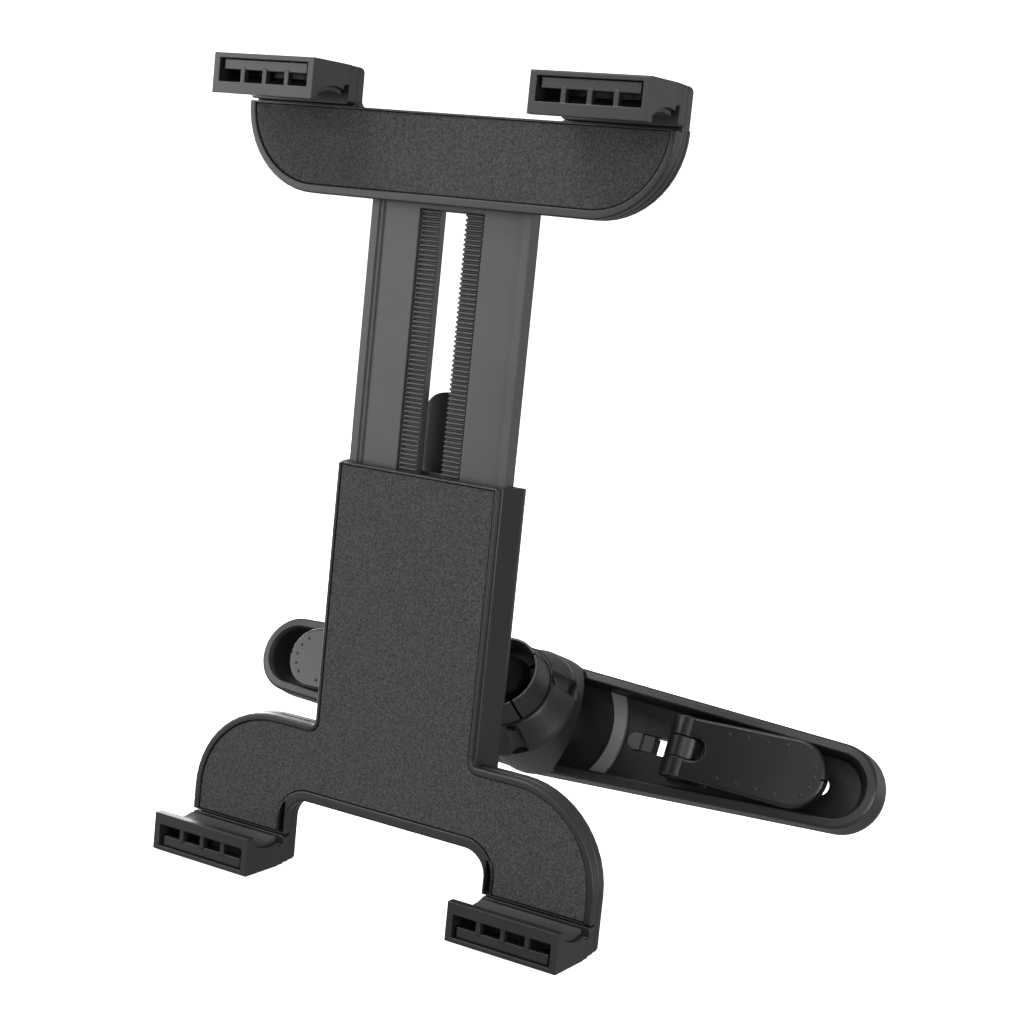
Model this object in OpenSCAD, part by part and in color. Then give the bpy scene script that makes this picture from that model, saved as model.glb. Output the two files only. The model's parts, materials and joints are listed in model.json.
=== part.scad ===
// Headrest tablet mount: a sprung two-part tablet holder on a ball stud, carried by a clamp bar
// whose two cam levers grip the posts of a car headrest.
// Millimetres, +Z up, +Y away from the person watching, X to the side.
// The origin lies midway between the two headrest posts, at the middle height of the clamp bar.
// Posts and clamp bar lean back by bar_tilt, the holder stands upright.

/* [Holder] */
// Free height between the lower and the upper claws, as pictured
claw_gap = 180.7; // [150:0.1:188]
// Height of the lower body from the claw bottoms to the sleeve top
body_h = 104.7; // [98:0.1:112]
// Width across the outer sides of the claws
holder_w = 119.4; // [110:0.1:130]
// Width of one claw
claw_w = 30; // [24:0.1:34]
// Height of one claw
claw_h = 9.65; // [8.5:0.05:12]
// Room between a claw's lip and the foam for the tablet's thickness
tablet_room = 12.5; // [11:0.1:16]
// Width of the sliding stem
stem_w = 45.3; // [38:0.1:52]
// Thickness of the sliding stem
stem_t = 4; // [3.6:0.1:5]
// Pitch of the rack teeth on the stem
tooth_pitch = 1.15; // [1:0.01:1.6]
// Width of the long slot in the stem
stem_slot_w = 7.3; // [6:0.1:9]
// Height of the waist where the sleeve meets the lower arms
arm_top = 37.7; // [34:0.1:42]
// Height of the upper body below its claws
upper_h = 21.6; // [19:0.1:25]
// Length of the stem below the upper body, as pictured
stem_len = 84.7; // [74:0.1:85]

/* [Ball joint] */
// Radius of the ball
ball_r = 7.6; // [7:0.1:9]
// Distance from the holder's back wall to the ball centre
stud_len = 43.3; // [40:0.1:55]
// Height of the ball stud above the claw bottoms
stud_height = 45.2; // [42:0.1:56]
// Distance from the bar's rim to the bend of the neck
nut_out = 16; // [14.5:0.1:22]
// Length of the neck from its bend to the ball centre
neck_len = 7.6; // [7:0.1:12]
// Rise of the neck against the bar, in degrees
neck_tilt = 17; // [8:0.5:19]
// Outer radius of the ring nut
nut_r = 16.4; // [15.6:0.1:18]

/* [Clamp bar] */
// Lean of the clamp bar and the posts against the holder, in degrees
bar_tilt = 23; // [10:0.5:30]
// Half length of the bar between the centres of its round ends
bar_half = 86.4; // [82:0.1:100]
// Half height of the bar in the middle
bar_r = 15.7; // [14.6:0.1:18]
// Radius of the bar's round ends
tip_r = 11.4; // [10.4:0.1:14]
// Depth of the trough that the lever lies in
trough_d = 8; // [7:0.1:10]
// Distance from the clamp bolt to the centre of the bar's round end, as pictured
clamp_in = 42.9; // [34:0.1:45]

/* [Post clamp] */
// Diameter of the headrest post that the jaws hold
post_d = 12; // [10:0.1:14]
// Distance from the clamp bolt to the post
post_off = 17; // [15.6:0.1:21]
// Length of the cam lever from its pin to its round end
lever_len = 41.5; // [38:0.1:48]
// Radius of the cam barrel
cam_r = 5.5; // [5:0.1:6.5]
// How far the cam barrel sits off the pin
cam_off = 0.6; // [0.4:0.05:0.8]
// Radius of the clamp bolt's shank
bolt_r = 2.3; // [2:0.05:2.4]

/* [Hidden] */
$fa = 4;
$fs = 0.6;
// clearances, each named once
run = 0.05;
slip = 0.1;
side_gap = 0.3;
seam = 0.3;

// holder depths, from the claw fronts
lip_t = 2.2;
pad_y = lip_t + tablet_room + 0.3;
rim_y0 = pad_y - 0.3;
pad_t = 1.2;
cover_back = pad_y + 2.2;
shell_y0 = cover_back + seam;
stem_y = pad_y + 3.6;
stem_back = stem_y + stem_t;
wall_y = stem_back + side_gap;
wall_t = 1.8;
back_y = wall_y + wall_t;
arm_back = pad_y + 5.6;
seat_y = lip_t + 11;
house_back = back_y + 13;
stud_reach = back_y + stud_len;
rim_w = 1.8;
foam_z0 = claw_h - 1.25;
fix_z = claw_h / 2 - 1.6;

// holder outline
half_w = holder_w / 2;
claw_x = half_w - claw_w / 2;
arch_w = half_w - claw_w;
arch_h = 17.8;
arm_r = arm_top - 14;
sleeve_w = stem_w / 2 + side_gap + 2.55;
front_w = sleeve_w - 2.3;
up_z0 = claw_h + claw_gap;
bar_z0 = up_z0 - upper_h;
up_top = up_z0 + claw_h;
up_r = upper_h - 0.1;
stem_bot = bar_z0 - stem_len;
slot_lo = stem_bot + 4.2;
slot_hi = bar_z0 - 1.4;

// rack and pawl: pitch lines counted down from the top of the slot
rack_in = stem_slot_w / 2;
rack_out = rack_in + 5.1;
rack_top = bar_z0 - 1;
rack_y = stem_y + 1.3;
tooth_h = 0.8;
rack_n = floor((bar_z0 - 1 - stem_bot - 2) / tooth_pitch);
pawl_n = 4;
pawl_k = round((rack_top - (body_h - 8)) / tooth_pitch);
pawl_z = rack_top - pawl_k * tooth_pitch;
pawl_w = rack_out - 0.3;
button_press = 0.8;
button_y = back_y + button_press + 0.4;

// housing behind the sleeve and the screws that hold it
house_z0 = stud_height - 9.5;
house_w = 26;
house_h = 52;
house_sx = 10;
house_sz = [house_z0 + 4, house_z0 + 48];

// clamp bar depths, from the post axis
post_r = post_d / 2;
grip_t = 1;
plate_t = 2.5;
floor_t = 2.4;
plate_y1 = -post_r - grip_t;
plate_y0 = plate_y1 - plate_t;
floor_y1 = plate_y0 - slip;
floor_y0 = floor_y1 - floor_t;
rim_y = floor_y0 - trough_d;
slot_z = bolt_r + 0.15;
slot_x0 = bar_r + 7.7;
ring_r = bar_r + 6.6;
bolt_x = max(slot_x0 + 20, bar_half - clamp_in);
slot_x1 = bar_half - 4;
stop_x1 = slot_x0 + 7.6;
lever_z = 8.2;
washer_t = 1;
cam_h = cam_r + cam_off * cos(45);
pin_y = floor_y0 - slip - washer_t - run - cam_h;
pin_r = 1.5;
eye_z = 2.7;
post_x = bolt_x + post_off;
jaw_z = 7.5;
liner_t = 1;
liner_r = post_r + 0.05;
jaw_back = post_r + liner_t + 5;

// ball centre in the bar's frame and in the object's frame
ball_yb = rim_y - nut_out - neck_len * cos(neck_tilt);
ball_zb = neck_len * sin(neck_tilt);
ball_y = ball_yb * cos(bar_tilt) + ball_zb * sin(bar_tilt);
ball_z = -ball_yb * sin(bar_tilt) + ball_zb * cos(bar_tilt);
hold_y = ball_y - stud_reach;
hold_z = ball_z - stud_height;
cup_t = 2.2;
collar_bore = ball_r + run + cup_t + slip;
collar_r = collar_bore + 2;
lip_z = ball_r * cos(72);
nut_z0 = -neck_len - 2;
nut_z1 = -0.2;
hub_r = bar_r + 1.1;
stud_r = 0.42 * ball_r;
// the mouth of the collar is wide enough for the stud at its pictured lean
mouth_z = ball_r - 0.8;
lean = bar_tilt + neck_tilt;
mouth_r = max(collar_bore, mouth_z * tan(lean) + stud_r / cos(lean) + 0.3);

// placing
module at_holder() { translate([0, hold_y, hold_z]) children(); }
module at_bar() { rotate([-bar_tilt, 0, 0]) children(); }
module at_neck() {
  at_bar() translate([0, ball_yb, ball_zb]) rotate([90 - neck_tilt, 0, 0]) children();
}
module flip(side) { if (side > 0) children(); else mirror([1, 0, 0]) children(); }
// a flat outline in x and z, given thickness from y0 to y1
module slab(y0, y1) { translate([0, y1, 0]) rotate([90, 0, 0]) linear_extrude(y1 - y0) children(); }
// a flat slot with round ends, lying along x
module slot_2d(x0, x1, h) {
  translate([x0 + h, -h]) square([x1 - x0 - 2 * h, 2 * h]);
  for (x = [x0 + h, x1 - h]) translate([x, 0]) circle(r = h);
}
module ycyl(x, z, r, y0, y1) { translate([x, y1, z]) rotate([90, 0, 0]) cylinder(r = r, h = y1 - y0); }

// lower body outline in x and z, every edge moved in by d
module lower_2d(d) {
  side = half_w - d;
  difference() {
    union() {
      translate([-side, 0]) square([2 * side, 14]);
      for (s = [-1, 1]) translate([s * (half_w - arm_r), 14]) circle(r = arm_r - d);
      translate([-(half_w - arm_r), 14]) square([2 * (half_w - arm_r), arm_r - d]);
      translate([-(half_w - arm_r), 8]) square([2 * (half_w - arm_r), 7]);
    }
    arch_2d(d);
    translate([-half_w - 20, -60]) square([2 * half_w + 40, 60]);
  }
}
module arch_2d(d) {
  w = arch_w + d;
  translate([-w, -70]) square([2 * w, 70 + arch_h + d - 6]);
  translate([-w + 6, -70]) square([2 * w - 12, 70 + arch_h + d]);
  for (s = [-1, 1]) translate([s * (w - 6), arch_h + d - 6]) circle(r = 6);
}
module sleeve_2d(w, d) { translate([-w + d, 24]) square([2 * (w - d), body_h - 24 - d]); }

// upper body outline in x and z, every edge moved in by d
module upper_2d(d) {
  c = half_w - up_r;
  top = up_z0 - d * 0.3;
  translate([-c, bar_z0 + d]) square([2 * c, top - bar_z0 - d]);
  intersection() {
    for (s = [-1, 1]) translate([s * c, bar_z0 + up_r]) circle(r = up_r - d);
    translate([-half_w, bar_z0 - 1]) square([2 * half_w, top - bar_z0 + 1]);
  }
}

// lower body
module lower_shell() {
  color([0.09, 0.09, 0.095]) at_holder() difference() {
    union() {
      slab(shell_y0, arm_back - 1) lower_2d(0);
      slab(arm_back - 1, arm_back - 0.4) lower_2d(0.35);
      slab(arm_back - 0.4, arm_back) lower_2d(0.9);
      slab(shell_y0, back_y - 1.2) sleeve_box(sleeve_w);
      slab(back_y - 1.2, back_y - 0.4) sleeve_box(sleeve_w - 0.4);
      slab(back_y - 0.4, back_y) sleeve_box(sleeve_w - 1.1);
      for (s = [-1, 1]) translate([s * claw_x - claw_w / 2, seat_y, 0]) {
        cube([claw_w, 3, claw_h - 4.75]);
        translate([0, 1.7, 0]) cube([claw_w, shell_y0 - seat_y - 0.7, foam_z0 - 1]);
      }
    }
    // room for the stem, open at the top and closed at the arch
    translate([-stem_w / 2 - side_gap, shell_y0 - 1, arch_h + 3.4])
      cube([stem_w + 2 * side_gap, wall_y - shell_y0 + 1, body_h]);
    // the latch passes through the back wall
    translate([-4.4, wall_y - 1, pawl_z - 3]) cube([8.8, wall_t + 2, 9.5]);
    ycyl(0, pawl_z - 16, 3.4, wall_y + 0.6, back_y + 1);
    // hollow arms
    for (s = [-1, 1]) flip(s) slab(shell_y0 - 1, arm_back - 1.6) intersection() {
      lower_2d(2.2);
      translate([sleeve_w + 1.5, claw_h + 1.6]) square([60, 60]);
    }
    lower_holes(shell_y0 - 2, back_y + 1, 1.3);
    for (s = [-1, 1]) for (q = [-7, 7])
      ycyl(s * claw_x + q, fix_z, 1.2, seat_y - 1, arm_back + 1);
    for (s = [-1, 1]) for (q = [-7, 7])
      ycyl(s * claw_x + q, fix_z, 2.3, arm_back - 1.6, arm_back + 1);
    // seats for the housing screws
    for (s = [-1, 1]) for (z = house_sz) ycyl(s * house_sx, z, 1.05, wall_y + 0.3, back_y + 1);
  }
}
module sleeve_box(w) {
  translate([-w, arch_h + 1]) square([2 * w, body_h - arch_h - 1]);
}
module lower_holes(y0, y1, r) {
  for (s = [-1, 1]) ycyl(s * (sleeve_w + 7), arm_top - 6, r, y0, y1);
  for (s = [-1, 1]) ycyl(s * (half_w - 4.6), 15.5, r, y0, y1);
}
module lower_cover() {
  color([0.085, 0.085, 0.09]) at_holder() difference() {
    union() {
      slab(rim_y0 + 0.3, cover_back) lower_front(0);
      slab(rim_y0, rim_y0 + 0.3) lower_front(0.3);
      slab(cover_back - 0.2, shell_y0) lower_front(1.1);
      for (p = [[sleeve_w + 7, arm_top - 6], [half_w - 4.6, 15.5]]) for (s = [-1, 1])
        ycyl(s * p[0], p[1], 1.9, cover_back - 0.2, arm_back - 1.8);
    }
    slab(rim_y0 - 1, pad_y + pad_t) lower_front_pad(0);
    translate([-stem_w / 2 - side_gap, cover_back - 0.6, arch_h + 3.4])
      cube([stem_w + 2 * side_gap, 4, body_h]);
    lower_holes(cover_back - 1.2, arm_back + 1, 0.9);
  }
}
// front cover outline: the arms and the narrower front of the sleeve
module lower_front(d) {
  difference() {
    union() {
      lower_2d(d);
      sleeve_2d(front_w, d);
    }
    translate([-half_w - 1, -1]) square([2 * half_w + 2, foam_z0 + 0.4 + d]);
  }
}
// room for the foam and, moved in by g more, the foam itself
module lower_front_pad(g) {
  difference() {
    union() {
      lower_2d(rim_w + g);
      sleeve_2d(front_w, 1.1 + g);
    }
    arch_2d(rim_w + 0.7 + g);
    translate([-half_w - 1, -1]) square([2 * half_w + 2, foam_z0 + 0.85 + g]);
  }
}
module lower_pad() {
  color([0.16, 0.16, 0.165]) at_holder() slab(pad_y, pad_y + pad_t) lower_front_pad(0.15);
}

// upper body
module upper_shell() {
  color([0.09, 0.09, 0.095]) at_holder() difference() {
    union() {
      slab(shell_y0, arm_back + 0.2) upper_2d(0);
      slab(arm_back, arm_back + 0.8) upper_2d(0.35);
      slab(arm_back + 0.6, arm_back + 1.2) upper_2d(0.9);
      for (s = [-1, 1]) translate([s * claw_x - claw_w / 2, seat_y, 0]) {
        translate([0, 0, up_z0 + 4.75]) cube([claw_w, 3, claw_h - 4.75]);
        translate([0, 1.7, up_z0 + 0.25]) cube([claw_w, shell_y0 - seat_y - 0.7, claw_h - 0.25]);
      }
      for (s = [-1, 1]) translate([s * claw_x - claw_w / 2, shell_y0, up_z0 - 6])
        cube([claw_w, arm_back - shell_y0, claw_h + 6]);
      // deep middle that takes the head of the stem
      translate([-stem_w / 2 - 2.4, shell_y0 + 0.5, bar_z0 + 0.6])
        cube([stem_w + 4.8, back_y - shell_y0 - 1.5, up_z0 - bar_z0 - 2]);
      translate([-stem_w / 2 - 1.4, back_y - 2, bar_z0 + 1.4])
        cube([stem_w + 2.8, 2, up_z0 - bar_z0 - 3.8]);
    }
    translate([-stem_w / 2 - slip, shell_y0 - 1, bar_z0 - 1])
      cube([stem_w + 2 * slip, stem_back + slip - shell_y0 + 1, 18.4]);
    for (s = [-1, 1]) flip(s) slab(shell_y0 - 1, arm_back - 1.2) intersection() {
      upper_2d(2.2);
      translate([stem_w / 2 + 4, bar_z0]) square([60, up_z0 - bar_z0 - 3]);
    }
    upper_holes(shell_y0 - 2, back_y + 1, 1.3);
    for (s = [-1, 1]) for (q = [-7, 7])
      ycyl(s * claw_x + q, up_top - fix_z, 1.2, seat_y - 1, arm_back + 2);
    for (s = [-1, 1]) for (q = [-7, 7])
      ycyl(s * claw_x + q, up_top - fix_z, 2.3, arm_back - 1.6, arm_back + 2);
    for (s = [-1, 1]) ycyl(s * 12, bar_z0 + 9, 1.05, stem_back - 1, back_y + 1);
  }
}
module upper_holes(y0, y1, r) {
  for (s = [-1, 1]) ycyl(s * (half_w - 8), up_z0 - 7, r, y0, y1);
  for (s = [-1, 1]) ycyl(s * (stem_w / 2 + 9), bar_z0 + 7, r, y0, y1);
}
module upper_cover() {
  color([0.085, 0.085, 0.09]) at_holder() difference() {
    union() {
      slab(rim_y0 + 0.3, cover_back) upper_front(0);
      slab(rim_y0, rim_y0 + 0.3) upper_front(0.3);
      slab(cover_back - 0.2, shell_y0) upper_front(1.1);
      for (p = [[half_w - 8, up_z0 - 7], [stem_w / 2 + 9, bar_z0 + 7]]) for (s = [-1, 1])
        ycyl(s * p[0], p[1], 1.9, cover_back - 0.2, arm_back - 1.4);
    }
    slab(rim_y0 - 1, pad_y + pad_t) upper_2d(rim_w);
    upper_holes(cover_back - 1.2, arm_back + 1, 0.9);
  }
}
module upper_front(d) {
  difference() {
    upper_2d(d);
    translate([-half_w - 1, up_z0 - 0.25]) square([2 * half_w + 2, 20]);
  }
}
module upper_pad() {
  color([0.16, 0.16, 0.165]) at_holder() slab(pad_y, pad_y + pad_t) upper_2d(rim_w + 0.15);
}

// sliding stem with two rack strips either side of the long slot
module stem() {
  wx = stem_w / 2;
  web_y = rack_y + tooth_h;
  color([0.14, 0.14, 0.145]) at_holder() difference() {
    union() {
      translate([-wx, web_y, stem_bot]) cube([stem_w, stem_back - web_y, bar_z0 + 17 - stem_bot]);
      // flat panels and raised side rims
      for (s = [-1, 1]) flip(s) {
        translate([rack_out + 0.5, stem_y + 0.9, stem_bot])
          cube([wx - rack_out - 0.5, web_y - stem_y, bar_z0 + 17 - stem_bot]);
        translate([wx - 2.1, stem_y, stem_bot])
          cube([2.1, stem_t - 0.6, bar_z0 + 17 - stem_bot]);
        translate([wx - 3.1, stem_y + 0.45, stem_bot])
          cube([1.2, stem_t - 1, bar_z0 + 17 - stem_bot]);
        rack_strip();
      }
      translate([-rack_out - 1, stem_y + 0.9, bar_z0 - 1])
        cube([2 * rack_out + 2, web_y - stem_y, 18]);
    }
    translate([-rack_in, stem_y - 1, slot_lo]) cube([stem_slot_w, stem_t + 2, slot_hi - slot_lo]);
    for (s = [-1, 1]) ycyl(s * 12, bar_z0 + 9, 0.85, stem_back - 1.4, stem_back + 1);
  }
}
// one strip of teeth, its profile drawn in y and z
module rack_strip() {
  z0 = rack_top - rack_n * tooth_pitch;
  pts = concat([[rack_y + tooth_h + 0.4, z0], [rack_y + tooth_h, z0]],
    [for (i = [0:rack_n - 1]) for (q = [0:3])
      [q == 1 || q == 2 ? rack_y : rack_y + tooth_h,
       z0 + (i + [0.05, 0.25, 0.58, 0.8][q]) * tooth_pitch]],
    [[rack_y + tooth_h, rack_top], [rack_y + tooth_h + 0.4, rack_top]]);
  translate([rack_in, 0, 0]) multmatrix([[0, 0, 1, 0], [1, 0, 0, 0], [0, 1, 0, 0], [0, 0, 0, 1]])
    linear_extrude(rack_out - rack_in) polygon(pts);
}

// claws; drawn for a lower claw, an upper claw is the same part turned over
module at_claw(s, up) {
  at_holder() translate([s * claw_x, 0, up ? up_top : 0]) mirror([0, 0, up ? 1 : 0]) children();
}
saddle_r = 11.95;
saddle_y = lip_t + 7.1;
saddle_z = claw_h - 3.92 + saddle_r;
// an outline in y and z, given the width w to both sides of the middle
module across(w) {
  multmatrix([[0, 0, 1, -w / 2], [1, 0, 0, 0], [0, 1, 0, 0], [0, 0, 0, 1]]) linear_extrude(w) children();
}
module claw() {
  boss_y = seat_y - slip;
  difference() {
    across(claw_w) difference() {
      polygon([[0.25, 0], [boss_y, 0], [boss_y, claw_h - 4.45], [lip_t + 10.3, claw_h - 4.45],
        [lip_t + 10.3, claw_h - 1], [lip_t, claw_h - 1], [lip_t, claw_h], [0, claw_h], [0, 0.25]]);
      intersection() {
        translate([saddle_y, saddle_z]) circle(r = saddle_r);
        translate([lip_t, 0]) square([20, 2 * claw_h]);
      }
    }
    // front window and the hollow behind it
    across(claw_w - 3.4) polygon([[-1, 1.2], [10.5, 1.2], [10.5, claw_h - 4.9], [7, claw_h - 4.8],
      [4.6, claw_h - 3.85], [2.6, claw_h - 2.8], [-1, claw_h - 2.8]]);
    for (q = [-7, 7]) translate([q, seat_y + 1, fix_z]) rotate([90, 0, 0]) cylinder(r = 0.85, h = 4.4);
  }
  // flat inner bar hanging from three short ribs
  translate([2.6 - claw_w / 2, 0.9, 1.45]) cube([claw_w - 5.2, 1.3, claw_h - 7.3]);
  for (q = [-1, 0, 1]) translate([q * claw_w * 0.22 - 0.6, 0.7, 3.4]) cube([1.2, 1.7, claw_h - 6.1]);
  for (q = [-7, 7]) difference() {
    translate([q, boss_y, fix_z]) rotate([90, 0, 0]) cylinder(r = 1.7, h = 4.2);
    translate([q, seat_y + 1, fix_z]) rotate([90, 0, 0]) cylinder(r = 0.85, h = 4.4);
  }
}
module claw_pad() {
  across(claw_w - 2.4) intersection() {
    difference() {
      translate([saddle_y, saddle_z]) circle(r = saddle_r - 0.03);
      translate([saddle_y, saddle_z]) circle(r = saddle_r - 1.05);
    }
    translate([lip_t + 0.02, 0]) square([10.7, claw_h - 0.3]);
  }
}
module claw_lower_left() { color([0.08, 0.08, 0.085]) at_claw(-1, false) claw(); }
module claw_lower_right() { color([0.08, 0.08, 0.085]) at_claw(1, false) claw(); }
module claw_upper_left() { color([0.08, 0.08, 0.085]) at_claw(-1, true) claw(); }
module claw_upper_right() { color([0.08, 0.08, 0.085]) at_claw(1, true) claw(); }
module claw_pad_lower_left() { color([0.13, 0.13, 0.13]) at_claw(-1, false) claw_pad(); }
module claw_pad_lower_right() { color([0.13, 0.13, 0.13]) at_claw(1, false) claw_pad(); }
module claw_pad_upper_left() { color([0.13, 0.13, 0.13]) at_claw(-1, true) claw_pad(); }
module claw_pad_upper_right() { color([0.13, 0.13, 0.13]) at_claw(1, true) claw_pad(); }

// latch: a toothed cross bar in front of the rack, joined through the slot to the rear button.
// Its tooth tips stand latch_gap off the rack's, and button_press moves it further forward.
latch_gap = 0.1;
module pawl() {
  y0 = stem_y - 1;
  tip = rack_y - latch_gap;
  span = pawl_n * tooth_pitch - 0.4;
  p = tooth_pitch;
  color([0.7, 0.7, 0.68]) at_holder() {
    translate([-pawl_w, y0, pawl_z + 0.2]) cube([2 * pawl_w, tip - 0.85 - y0, span]);
    for (s = [-1, 1]) for (i = [0:pawl_n - 1]) flip(s) translate([rack_in + 0.3, 0, pawl_z + i * p])
      multmatrix([[0, 0, 1, 0], [1, 0, 0, 0], [0, 1, 0, 0], [0, 0, 0, 1]])
      linear_extrude(pawl_w - rack_in - 0.3)
      polygon([[tip - 1, 0.25 * p], [tip - 1, 0.84 * p], [tip - 0.6, 0.98 * p], [tip, 0.98 * p],
        [tip, 0.85 * p], [tip - 0.6, 0.3 * p]]);
    translate([-rack_in + 0.4, y0 + 0.2, pawl_z + 0.2])
      cube([stem_slot_w - 0.8, button_y + 3 - y0 - 0.2, span]);
  }
}
module release_button() {
  top = body_h + 19.6;
  color([0.07, 0.07, 0.075]) at_holder() difference() {
    union() {
      intersection() {
        slab(button_y, button_y + 6) union() {
          translate([0, top - 10]) circle(r = 10);
          translate([-10, pawl_z - 26]) square([20, top - 10 - pawl_z + 26]);
        }
        translate([0, button_y + 14, pawl_z - 30]) cylinder(r = 14, h = 90);
      }
    }
    // hole for the latch shank and a pocket for the spring
    translate([-rack_in + 0.3, button_y - 1, pawl_z + 0.1])
      cube([stem_slot_w - 0.6, 4.1, pawl_n * tooth_pitch - 0.2]);
    ycyl(0, pawl_z - 16, 3, button_y - 1, button_y + 4);
  }
}
// a coil pressed between the sleeve's back wall and the button
module pawl_spring() {
  len = button_y + 3.98 - wall_y - 0.62;
  color([0.7, 0.7, 0.7]) at_holder() translate([0, wall_y + 0.62, pawl_z - 16]) rotate([-90, 0, 0])
    linear_extrude(len, twist = -360 * 4, slices = 96) translate([2.3, 0]) circle(r = 0.35, $fn = 10);
}
module rear_housing() {
  color([0.09, 0.09, 0.095]) at_holder() difference() {
    union() {
      translate([-house_w / 2, back_y, house_z0]) cube([house_w, 12, house_h]);
      translate([1 - house_w / 2, back_y + 11.9, house_z0 + 1]) cube([house_w - 2, 1.1, house_h - 2]);
      ycyl(0, stud_height, 8, back_y + 12, house_back + 3);
    }
    // shaft that the button slides in, open above
    translate([-10.3, back_y - 1, pawl_z - 26.4]) cube([20.6, 9.3, 60]);
    // room for the stud's flange, and the bearing of the stud
    ycyl(0, stud_height, 8.6, back_y - 1, house_back - 3);
    ycyl(0, stud_height, stud_r + 1 + run, back_y, house_back + 4);
    for (s = [-1, 1]) for (z = house_sz) ycyl(s * house_sx, z, 0.85, back_y - 1, back_y + 7);
  }
}
module screw(x, z, y_head, y_tip, r, rh) {
  color([0.55, 0.55, 0.56]) difference() {
    union() {
      ycyl(x, z, rh, y_head - 1.2, y_head);
      ycyl(x, z, r, y_tip, y_head - 1);
    }
    translate([x - 0.3, y_head - 0.6, z - 1.2]) cube([0.6, 1, 2.4]);
    translate([x - 1.2, y_head - 0.6, z - 0.3]) cube([2.4, 1, 0.6]);
  }
}
module lower_screws() {
  at_holder() {
    for (s = [-1, 1]) for (q = [-7, 7])
      screw(s * claw_x + q, fix_z, arm_back - 0.3, seat_y - 3, 0.8, 2);
    for (s = [-1, 1]) screw(s * (sleeve_w + 7), arm_top - 6, arm_back + 1.2, cover_back - 0.9, 0.85, 2.1);
    for (s = [-1, 1]) screw(s * (half_w - 4.6), 15.5, arm_back + 1.2, cover_back - 0.9, 0.85, 2.1);
  }
}
module upper_screws() {
  at_holder() {
    for (s = [-1, 1]) for (q = [-7, 7])
      screw(s * claw_x + q, up_top - fix_z, arm_back - 0.3, seat_y - 3, 0.8, 2);
    for (s = [-1, 1]) screw(s * (half_w - 8), up_z0 - 7, arm_back + 2.4, cover_back - 0.9, 0.85, 2.1);
    for (s = [-1, 1]) screw(s * (stem_w / 2 + 9), bar_z0 + 7, arm_back + 2.4, cover_back - 0.9, 0.85, 2.1);
    for (s = [-1, 1]) screw(s * 12, bar_z0 + 9, back_y + 1.2, stem_back - 1.3, 0.8, 2.1);
  }
}

// ball joint
module ball_stud() {
  flange = stud_reach - house_back - 3 - slip;
  color([0.06, 0.06, 0.06]) at_holder() difference() {
    translate([0, stud_reach, stud_height]) rotate([90, 0, 0]) union() {
      sphere(r = ball_r);
      cylinder(r = stud_r, h = flange);
      translate([0, 0, flange - 3]) cylinder(r = 7, h = 3);
      translate([0, 0, flange - 1]) cylinder(r = stud_r + 1, h = 7 + 2 * slip);
    }
    ycyl(0, stud_height, 1.6, back_y, back_y + 24);
  }
}
module stud_washer() {
  y1 = house_back - 3 - slip;
  color([0.6, 0.6, 0.6]) at_holder() difference() {
    ycyl(0, stud_height, 8, y1 - 1, y1);
    ycyl(0, stud_height, 1.9, y1 - 2, y1 + 1);
  }
}
module stud_screw() {
  y1 = house_back - 4 - slip;
  color([0.6, 0.6, 0.6]) at_holder() difference() {
    union() {
      ycyl(0, stud_height, 3.4, y1 - 2.2, y1);
      ycyl(0, stud_height, 1.5, y1 - 0.5, y1 + 12);
    }
    ycyl(0, stud_height, 1.3, y1 - 3, y1 - 1, $fn = 6);
  }
}
// plastic cup between ball and collar; slit so that the collar can squeeze it
module ball_cup() {
  r0 = ball_r + run;
  color([0.1, 0.1, 0.1]) at_neck() difference() {
    translate([0, 0, -ball_r - 0.9]) cylinder(r = r0 + cup_t, h = ball_r + 0.9 + lip_z);
    sphere(r = r0);
    for (a = [0:90:270]) rotate([0, 0, a + 45]) translate([3, -0.5, -3]) cube([10, 1, 9]);
  }
}
// slit collar on a hub that bridges the trough, open to both sides
module neck_collar() {
  w = hub_r + 0.4;
  front = rim_y - nut_out - 8;
  color([0.1, 0.1, 0.105]) difference() {
    union() {
      at_neck() {
        translate([0, 0, nut_z0 - 2]) cylinder(r = collar_r, h = 2 - nut_z0);
        cylinder(r1 = collar_r, r2 = mouth_r + 0.6, h = mouth_z);
      }
      intersection() {
        at_bar() translate([0, rim_y - run, 0]) rotate([90, 0, 0])
          cylinder(r1 = hub_r, r2 = hub_r - 1.9, h = nut_out + 8);
        at_neck() translate([-30, -30, nut_z0 - 40]) cube([60, 60, 40 - side_gap]);
        at_bar() translate([0, 0, -30]) linear_extrude(60) polygon([[-w, front], [w, front],
          [w, rim_y - nut_out + 5], [9, rim_y - 2], [9, rim_y], [-9, rim_y], [-9, rim_y - 2],
          [-w, rim_y - nut_out + 5]]);
      }
      // its post stands on the trough floor
      at_bar() ycyl(0, 0, 9, rim_y - 3, floor_y0 - run);
      at_bar() ycyl(0, 0, 7.9, floor_y0 - 1, floor_y1 - run);
    }
    at_neck() {
      translate([0, 0, -ball_r - 1]) cylinder(r = collar_bore, h = ball_r + 1.01 + lip_z);
      translate([0, 0, lip_z]) cylinder(r1 = collar_bore, r2 = mouth_r, h = mouth_z - lip_z + 0.01);
      translate([0, 0, -ball_r - 3]) cylinder(r1 = 5, r2 = collar_bore - 0.6, h = 2.1);
      for (a = [0:90:270]) rotate([0, 0, a + 45]) translate([collar_bore - 1, -0.3, -5]) cube([7, 0.6, 20]);
    }
    at_bar() ycyl(0, 0, 1.3, floor_y0 - 6, floor_y1 + 1);
  }
}
module hub_screw() { at_bar() screw(0, 0, plate_y1, floor_y0 - 4, 1.25, 3.2); }
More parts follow.
